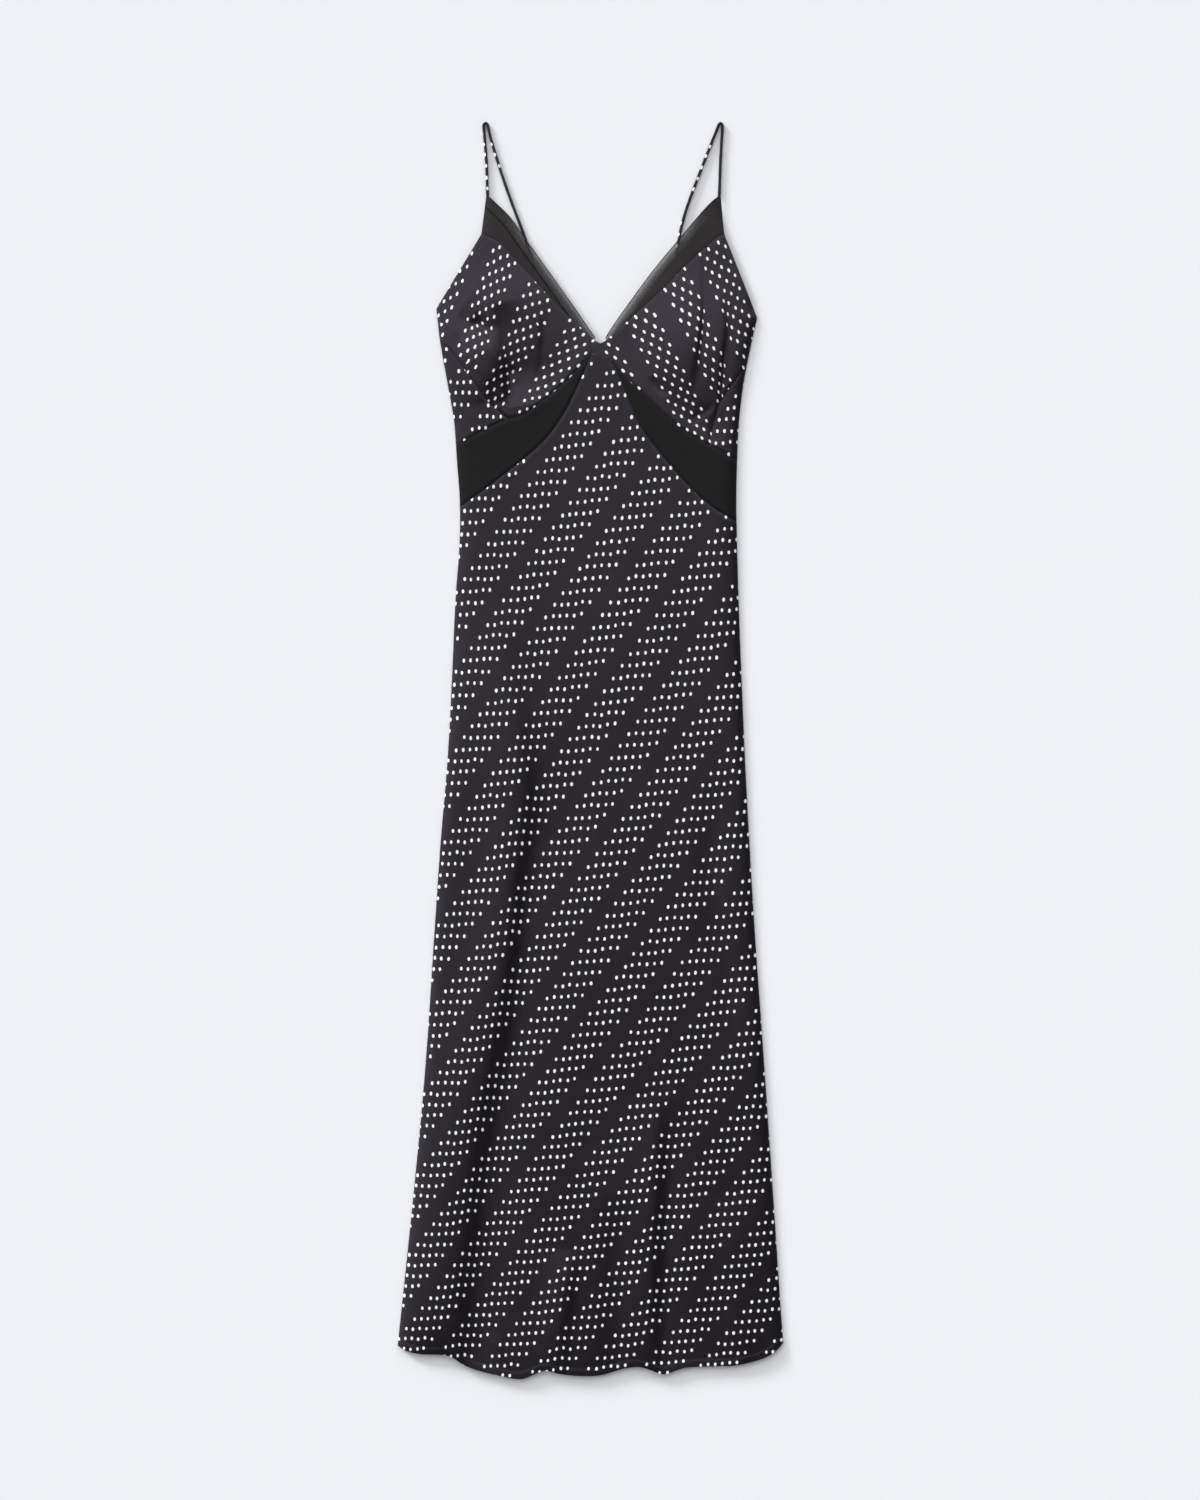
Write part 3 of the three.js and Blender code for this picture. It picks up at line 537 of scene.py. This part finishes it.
def cloth_material(name, colour, roughness, layout=None, weave=0.12, shine=0.2, tint=(1, 1, 1)):
    """Satin or plain cloth: slightly uneven colour, a fine diagonal weave in bump and roughness, and dots if asked."""
    material = bpy.data.materials.new(name)
    material.use_nodes = True
    tree = material.node_tree
    shader = tree.nodes["Principled BSDF"]
    place = tree.nodes.new("ShaderNodeTexCoord").outputs["Object"]
    patches = noise(tree, place, 9.0, 3.0)
    dark = tuple(c * 0.92 for c in colour)
    light = tuple(c * 1.08 for c in colour)
    cloth = mixed(tree, smooth_step(tree, patches, 0.3, 0.7), dark, light)
    threads = noise(tree, place, 1800.0, 2.0, 0.7)
    slubs = noise(tree, place, 260.0, 3.0, 0.6)
    height = maths(tree, "MULTIPLY_ADD", slubs, 0.5, threads)
    base_roughness = maths(tree, "MULTIPLY_ADD", slubs, 0.14, roughness - 0.07)
    if layout:
        mask = dot_mask(tree, layout)
        cloth = mixed(tree, mask, cloth, (0.83, 0.83, 0.825))
        base_roughness = maths(tree, "MULTIPLY_ADD", mask, 0.2, base_roughness)
        height = maths(tree, "MULTIPLY_ADD", mask, 0.6, height)
    bump = tree.nodes.new("ShaderNodeBump")
    bump.inputs["Strength"].default_value = weave
    bump.inputs["Distance"].default_value = 0.0002
    tree.links.new(height, bump.inputs["Height"])
    tree.links.new(bump.outputs[0], shader.inputs["Normal"])
    tree.links.new(cloth, shader.inputs["Base Color"])
    tree.links.new(base_roughness, shader.inputs["Roughness"])
    shader.inputs["Specular IOR Level"].default_value = shine
    shader.inputs["Specular Tint"].default_value = (*tint, 1)
    return material


def sheer_material(name):
    """A neck band: near-black crepe with a strip of fine net along its edge. The band map's v is the distance from the edge."""
    material = cloth_material(name, (0.0212, 0.0188, 0.0200), 0.6, weave=0.2)
    tree = material.node_tree
    shader = tree.nodes["Principled BSDF"]
    down, inward = uv_parts(tree, "band")
    place = tree.nodes.new("ShaderNodeTexCoord").outputs["Object"]
    ragged = maths(tree, "MULTIPLY_ADD", noise(tree, place, 120.0, 3.0), 3.0, inward)
    strip = smooth_step(tree, ragged, EDGE_STRIP + 4.0, EDGE_STRIP - 2.5)
    strip = maths(tree, "MULTIPLY", strip, smooth_step(tree, down, 88.0, 132.0))
    rolled_edge = smooth_step(tree, inward, 0.5, 1.1)
    net = maths(tree, "MULTIPLY", strip, rolled_edge)
    threads = noise(tree, place, 700.0, 2.0, 0.8)
    near_edge = maths(tree, "MULTIPLY", smooth_step(tree, inward, 7.0, 0.6), 0.3)
    sheer_share = maths(tree, "ADD", maths(tree, "MULTIPLY_ADD", threads, 0.5, 0.04), near_edge)
    open_share = maths(tree, "MULTIPLY", net, sheer_share)
    alpha = maths(tree, "SUBTRACT", 1.0, open_share, clamp=True)
    tree.links.new(alpha, shader.inputs["Alpha"])
    body = shader.inputs["Base Color"].links[0].from_socket
    line_reach = maths(tree, "ABSOLUTE", maths(tree, "SUBTRACT", inward, EDGE_STRIP + 1.0))
    place_x = tree.nodes.new("ShaderNodeSeparateXYZ")
    tree.links.new(place, place_x.inputs[0])
    on_left = maths(tree, "LESS_THAN", place_x.outputs[0], 0.0)
    inner_line = maths(tree, "MULTIPLY", smooth_step(tree, line_reach, 1.0, 0.3), on_left)
    toned = mixed(tree, net, body, (0.044, 0.041, 0.041))
    tree.links.new(mixed(tree, inner_line, toned, (0.001, 0.001, 0.001)), shader.inputs["Base Color"])
    return material


SATIN = {"colour": (0.0042, 0.0034, 0.0056), "roughness": 0.37, "tint": (0.92, 0.835, 1.0)}
dotted_satin = cloth_material("dotted_satin", layout=BODY_PRINT, shine=0.53, **SATIN)
cup_satin = cloth_material("cup_satin", layout=LEFT_CUP_PRINT, shine=0.66, **SATIN)
plain_satin = cloth_material("plain_satin", (0.0046, 0.0036, 0.0046), 0.5, shine=0.24)
sheer = sheer_material("sheer")
thread = cloth_material("thread", (0.012, 0.011, 0.013), 0.6, weave=0.3)


def keep(piece, nodes):
    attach(piece, "root")
    if nodes:
        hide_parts(*nodes)
    return piece


def plan_maps(grid, dots, rows):
    flat = grid.reshape(-1, 2)
    return {"print": np.stack([dots.reshape(-1), rows.reshape(-1)], 1), "band": flat * 0.01}


def onward_lines(top, bottom, outer, inner, mirrored):
    """The four lines of a piece in the grid's order: a piece on the right runs from the centre outwards."""
    if mirrored:
        return top[::-1], bottom[::-1], inner, outer
    return top, bottom, outer, inner


def straight(start, end):
    return np.linspace(points([start])[0], points([end])[0], 12)


def build_back():
    hem_left, hem_right = LEFT_SIDE[-1][0], 1345.5
    x = np.linspace(HEM[0][0], 211.4, 200)
    rise = BACK_HEM_RISE * (1 - np.linspace(0, 1, 200))
    bottom = np.stack([x, front_hem(x) - rise], 1)
    top = np.vstack([straight(a, b)[:-1] for a, b in zip(BACK_TOP, BACK_TOP[1:])] + [points(BACK_TOP[-1:])])
    left = side_line(left_side, BACK_TOP[0][1], hem_left - BACK_HEM_RISE) + (0.3, 0)
    right = side_line(right_side, BACK_TOP[-1][1], hem_right) - (0.3, 0)
    left[-1], right[-1] = bottom[0], bottom[-1]
    grid = plan(top, bottom, left, right, 90, 170)
    dots, rows = body_print(grid[..., 0], grid[..., 1])
    maps = plan_maps(grid, -dots, rows)
    piece = shell("back_cloth", grid, np.zeros(grid.shape[:2]), BACK_WALL, dotted_satin, maps)
    keep(piece, ["back"])
    return piece


def build_skirt():
    top = np.vstack([
        spline(LEFT["skirt_seam"]), straight(LEFT["skirt_seam"][-1], CENTRE)[1:],
        straight(CENTRE, RIGHT["skirt_seam"][-1])[1:], spline(RIGHT["skirt_seam"])[::-1][1:],
    ])
    x = np.linspace(HEM[0][0], HEM[-1][0], 400)
    bottom = np.stack([x, front_hem(x)], 1)
    left = side_line(left_side, LEFT["skirt_seam"][0][1], HEM[0][1])
    right = side_line(right_side, RIGHT["skirt_seam"][0][1], HEM[-1][1])
    grid = plan(top, bottom, left, right, 150, 290)
    x, down = grid[..., 0], grid[..., 1]
    lower = front_height(x, down) + seam_relief(grid, [(top[::4], 0.5, 0.08)], [(bottom[::4], HEM_DEPTH, 0.35)])
    piece = shell("skirt_cloth", grid, above_back(lower), FRONT_WALL, dotted_satin, plan_maps(grid, *body_print(x, down)))
    keep(piece, ["front_skirt"])
    return piece


def build_side(side, lines, side_curve, onward, cut):
    """The bodice pieces of one side: cup, side panel, insert and neck band."""
    mirrored = onward < 0
    curve = {key: spline(rows) for key, rows in lines.items() if key != "arm"}
    arm = points(lines["arm"])
    tip = {key: curve[key][-1] for key in curve}

    armhole = np.vstack([straight(arm[i], arm[i + 1]) for i in (1, 2)])
    outer = np.vstack([armhole, side_line(side_curve, arm[-1][1], lines["side_seam"][0][1])[1:]])
    cup_top = np.vstack([curve["band_seam"], straight(tip["band_seam"], NECK_POINT)[1:]])
    cup_bottom = np.vstack([curve["side_seam"], curve["cup_seam"][1:], straight(tip["cup_seam"], CENTRE)[1:]])
    inner = straight(NECK_POINT, CENTRE)
    grid = plan(*onward_lines(cup_top, cup_bottom, outer, inner, mirrored), 124, 124)
    x, down = grid[..., 0], grid[..., 1]
    lower = front_height(x, down)
    seams = [
        (curve["band_seam"][::4], 0.35, 0.05), (curve["side_seam"][::4], *cut["side_seam"]),
        (curve["cup_seam"][::4], 0.5, 0.1),
    ]
    lower += seam_relief(grid, seams, [(armhole, 5.0, 0.1)])
    above_seam = nearest(curve["cup_seam"][::4], x, down)[0]
    lower += 0.25 * np.exp(-(((above_seam - 8) / 6) ** 2))
    piece = shell(f"cup_{side}_cloth", grid, above_back(lower), FRONT_WALL, cup_satin, plan_maps(grid, *cup_print(x, down, onward)))
    keep(piece, [f"cup_{side}"])

    outer = side_line(side_curve, lines["side_seam"][0][1], lines["panel_seam"][0][1])
    end = straight(sampled(curve["side_seam"], [0.985])[0], sampled(curve["panel_seam"], [0.985])[0])
    top, bottom = (sampled(curve[key], np.linspace(0, 0.985, 80)) for key in ("side_seam", "panel_seam"))
    grid = plan(*onward_lines(top, bottom, outer, end, mirrored), 60, 60)
    x, down = grid[..., 0], grid[..., 1]
    lower = front_height(x, down) + seam_relief(grid, [(top, *cut["side_seam"]), (bottom, 0.5, 0.1)])
    dots, rows = body_print(x, down)
    maps = plan_maps(grid, dots + cut["panel_dots"], rows)
    piece = shell(f"side_panel_{side}_cloth", grid, above_back(lower), FRONT_WALL, dotted_satin, maps)
    keep(piece, [f"side_panel_{side}"])

    outer = side_line(side_curve, lines["panel_seam"][0][1], lines["skirt_seam"][0][1])
    upper = np.vstack([curve["panel_seam"], curve["cup_seam"][1:]])
    top, bottom = (sampled(line, np.linspace(0, 0.99, 200)) for line in (upper, curve["skirt_seam"]))
    grid = plan(*onward_lines(top, bottom, outer, straight(top[-1], bottom[-1]), mirrored), 150, 50)
    x, down = grid[..., 0], grid[..., 1]
    lower = front_height(x, down) + seam_relief(grid, [(top[::3], 0.5, 0.1), (bottom[::3], 0.55, 0.15)])
    piece = shell(f"insert_{side}_cloth", grid, above_back(lower), FRONT_WALL, plain_satin, plan_maps(grid, *body_print(x, down)))
    keep(piece, [f"insert_{side}"])

    top, bottom = (sampled(curve[key], np.linspace(0, 0.985, 120)) for key in ("neck", "band_seam"))
    outer = np.vstack([straight(lines["neck"][0], arm[0]), straight(arm[0], arm[1])[1:]])
    grid = plan(*onward_lines(top, bottom, outer, straight(top[-1], bottom[-1]), mirrored), 130, 44)
    x, down = grid[..., 0], grid[..., 1]
    lower = front_height(x, down) + seam_relief(grid, [(bottom[::2], 0.35, 0.05)])
    from_edge = nearest(top[::2], x, down)[0]
    lower += 0.3 * np.exp(-((from_edge / 0.9) ** 2)) + (FRONT_WALL - SHEER_WALL) * (1 - np.exp(-from_edge / 8))
    maps = plan_maps(grid, *body_print(x, down))
    maps["band"] = np.stack([down.reshape(-1), from_edge.reshape(-1)], 1)
    piece = shell(f"neck_band_{side}_cloth", grid, above_back(lower), SHEER_WALL, sheer, maps)
    keep(piece, [f"neck_band_{side}"])


def build_strap(side):
    """A rouleau: a narrow bias-cut tube, with the print running round it."""
    line = spline(STRAP_ROUTES[side], 40)
    count, sides = 260, 14
    line = sampled(line, np.linspace(0, 1, count + 1))
    ahead = np.gradient(line, axis=0)
    ahead /= np.linalg.norm(ahead, axis=1)[:, None]
    across = np.stack([-ahead[:, 1], ahead[:, 0]], 1)
    run = np.concatenate([[0], np.cumsum(np.linalg.norm(np.diff(line, axis=0), axis=1))])
    angle = 2 * np.pi * np.arange(sides + 1) / sides
    rings = []
    for radius in (STRAP / 2, STRAP / 2 - 0.5):
        swell = radius * (1 + 0.04 * np.sin(run / 3.7) * np.sin(run / 9.1))[:, None]
        place = line[:, None, :] + across[:, None, :] * (swell * np.cos(angle))[..., None]
        z = STRAP / 2 + 0.05 + swell * np.sin(angle)
        rings.append(np.dstack([place[..., 0], LENGTH / 2 - place[..., 1], z]))
    corners = np.vstack([ring[:, :-1].reshape(-1, 3) for ring in rings])
    total = (count + 1) * sides
    faces = []
    for k in range(count):
        for j in range(sides):
            a, b = k * sides + j, k * sides + (j + 1) % sides
            c, d = b + sides, a + sides
            faces.append((a, d, c, b))
            faces.append((a + total, b + total, c + total, d + total))
    for j in range(sides):
        a, b = j, (j + 1) % sides
        faces.append((a, b, b + total, a + total))
        a, b = a + count * sides, b + count * sides
        faces.append((b, a, a + total, b + total))
    turns, first_dot, spacing = STRAP_PRINT[side]
    counted_rows = (run - first_dot) / spacing
    row = np.round(counted_rows)
    turn = np.interp(first_dot + row * spacing, *points(turns).T)
    off_top = STRAP / 2 * (np.abs(angle[:-1] - np.pi) - np.pi / 2)
    start = GROUP_DOTS // 2 - 0.5 + turn - BODY_PRINT["set_back"] * (row + 0.5 - FIRST_BAND_SHIFT)
    dots = start[:, None] + off_top / STRAP_DOT
    rows = np.repeat((counted_rows + 0.5 - FIRST_BAND_SHIFT)[:, None], sides, axis=1)
    both = np.stack([dots.reshape(-1), rows.reshape(-1)], 1)
    maps = {"print": np.vstack([both, both]), "band": np.vstack([both, both])}
    piece = new_mesh(f"strap_{side}_rouleau", corners, faces, dotted_satin, maps)
    keep(piece, [f"strap_{side}"])


def build_stitches(name, line, spacing, length, on_top):
    """A row of small stitches along a line on the front, as one joined mesh."""
    run = along(line)
    total = np.linalg.norm(np.diff(line, axis=0), axis=1).sum()
    starts = np.arange(spacing, total - spacing, spacing) / total
    corners, faces = [], []
    half, thick = length / 2, 0.17
    ring = [(math.cos(a) * thick, math.sin(a) * thick) for a in np.linspace(0, 2 * np.pi, 6, endpoint=False)]
    middle = sampled(line, starts)
    ahead = sampled(line, starts + 0.2 / total) - sampled(line, starts - 0.2 / total)
    ahead /= np.linalg.norm(ahead, axis=1)[:, None]
    height = on_top(middle[:, 0], middle[:, 1])
    for (x, down), (ax, ad), z in zip(middle, ahead, height):
        base = len(corners)
        for share, width in ((-1, 0.35), (-0.7, 1), (0.7, 1), (1, 0.35)):
            dip = 0.22 * abs(share) ** 3
            for side, up in ring:
                px = x + ax * half * share - ad * side * width
                pd = down + ad * half * share + ax * side * width
                corners.append((px, LENGTH / 2 - pd, z + up * width - dip))
        for k in range(3):
            for j in range(6):
                a, b = base + k * 6 + j, base + k * 6 + (j + 1) % 6
                faces.append((a, b, b + 6, a + 6))
        faces.append(tuple(base + j for j in range(5, -1, -1)))
        faces.append(tuple(base + 18 + j for j in range(6)))
    corners = np.array(corners)
    maps = {"print": np.zeros((len(corners), 2)), "band": np.zeros((len(corners), 2))}
    piece = new_mesh(name, corners, faces, thread, maps)
    keep(piece, [])


def cloth_top(x, down):
    return front_height(x, down) + FRONT_WALL


build_back()
build_skirt()
build_side("left", LEFT, left_side, 1, {
    "cup": ((0.190, 0.212), 0.0215), "panel": ((0.050, 0.120), 0.0034),
    "insert": ((0.070, 0.235), 0.0070), "band": ((0.044, 0.205), 0.0036),
    "side_seam": (1.0, 0.05), "panel_dots": -1.8,
})
build_side("right", RIGHT, right_side, -1, {
    "cup": ((0.182, 0.236), 0.0222), "panel": ((0.042, 0.108), 0.0021),
    "insert": ((0.070, 0.225), 0.0067), "band": ((0.044, 0.205), 0.0040),
    "side_seam": (0.4, 0.05), "panel_dots": 3.0,
})
for strap_side in STRAP_ROUTES:
    build_strap(strap_side)
hem_x = np.linspace(HEM[0][0] + 2, HEM[-1][0] - 2, 400)
hem_line = np.stack([hem_x, front_hem(hem_x) - HEM_DEPTH], 1)
build_stitches("hem_stitches", hem_line, 3.4, 2.3, cloth_top)

# Floor, light and camera
floor_mesh = bpy.data.meshes.new("floor")
FLOOR_REACH = 30.0
FLOOR_LEVEL = -0.0004
floor_corners = [(x * FLOOR_REACH, y * FLOOR_REACH, FLOOR_LEVEL) for x, y in ((-1, -1), (1, -1), (1, 1), (-1, 1))]
floor_mesh.from_pydata(floor_corners, [], [(0, 1, 2, 3)])
floor = bpy.data.objects.new("floor", floor_mesh)
bpy.context.scene.collection.objects.link(floor)
floor_material = bpy.data.materials.new("floor")
floor_material.use_nodes = True
floor_shader = floor_material.node_tree.nodes["Principled BSDF"]
floor_shader.inputs["Base Color"].default_value = (0.80, 0.81, 0.845, 1)
floor_shader.inputs["Roughness"].default_value = 0.9
floor_shader.inputs["Specular IOR Level"].default_value = 0.1
floor_mesh.materials.append(floor_material)


def build_backdrop():
    """A round pale wall far behind the dress, as bright as the lit floor. It throws no light and no shade."""
    sides, height = 96, 24.0
    ring = [(math.cos(a) * FLOOR_REACH, math.sin(a) * FLOOR_REACH) for a in 2 * np.pi * np.arange(sides) / sides]
    corners = [(x, y, z) for z in (FLOOR_LEVEL, height) for x, y in ring]
    faces = [(j, (j + 1) % sides, (j + 1) % sides + sides, j + sides) for j in range(sides)]
    mesh = bpy.data.meshes.new("backdrop")
    mesh.from_pydata(corners, [], faces)
    material = bpy.data.materials.new("backdrop")
    material.use_nodes = True
    shader = material.node_tree.nodes["Principled BSDF"]
    shader.inputs["Base Color"].default_value = (0, 0, 0, 1)
    shader.inputs["Specular IOR Level"].default_value = 0
    shader.inputs["Emission Color"].default_value = (0.871, 0.880, 0.922, 1)
    shader.inputs["Emission Strength"].default_value = 1
    mesh.materials.append(material)
    wall = bpy.data.objects.new("backdrop", mesh)
    wall.visible_diffuse = wall.visible_glossy = wall.visible_transmission = wall.visible_shadow = False
    bpy.context.scene.collection.objects.link(wall)


build_backdrop()


def sky_part(tree, facing, dark_at, bright_at, strength):
    """A part of the sky that grows brighter as a direction turns towards it"""
    node = tree.nodes.new("ShaderNodeMapRange")
    tree.links.new(facing, node.inputs["Value"])
    node.inputs["From Min"].default_value, node.inputs["From Max"].default_value = dark_at, bright_at
    node.inputs["To Max"].default_value = strength
    return node.outputs["Result"]


world = bpy.data.worlds.new("studio")
world.use_nodes = True
studio = world.node_tree
sky = studio.nodes["Background"]
sky.inputs["Color"].default_value = (1, 1, 1, 1)
direction = studio.nodes.new("ShaderNodeTexCoord").outputs["Generated"]
turned = studio.nodes.new("ShaderNodeVectorMath")
turned.operation = "DOT_PRODUCT"
turned.inputs[1].default_value = (-0.36, 0.89, 0)
studio.links.new(direction, turned.inputs[0])
ahead_part = sky_part(studio, turned.outputs["Value"], -0.15, 0.15, 1.07)
behind_part = sky_part(studio, turned.outputs["Value"], -0.45, -0.8, 0.7)
studio.links.new(maths(studio, "ADD", ahead_part, behind_part), sky.inputs["Strength"])
bpy.context.scene.world = world


def build_sun(name, energy, width, towards):
    """A light from far off, as wide as a soft box. It stays out of the cloth's gloss, which mirrors the sky alone."""
    light = bpy.data.lights.new(name, "SUN")
    light.energy, light.angle = energy, math.radians(width)
    sun = bpy.data.objects.new(name, light)
    sun.rotation_euler = mathutils.Vector(towards).to_track_quat("Z", "Y").to_euler()
    sun.visible_glossy = False
    bpy.context.scene.collection.objects.link(sun)


build_sun("key", 2.9, 12, (-0.681, 0.681, 0.267))
build_sun("fill", 1.2, 90, (-0.3, 0.75, 0.6))

camera_data = bpy.data.cameras.new("camera")
camera_data.lens = 85
camera_data.sensor_width = 36
camera = bpy.data.objects.new("camera", camera_data)
FRAME_HEIGHT = 1.650
camera.location = (0.01045, 0.0001, FRAME_HEIGHT / 36 * 85)
camera_data.clip_end = 100
bpy.context.scene.collection.objects.link(camera)
bpy.context.scene.camera = camera
bpy.context.scene.view_settings.view_transform = "Standard"
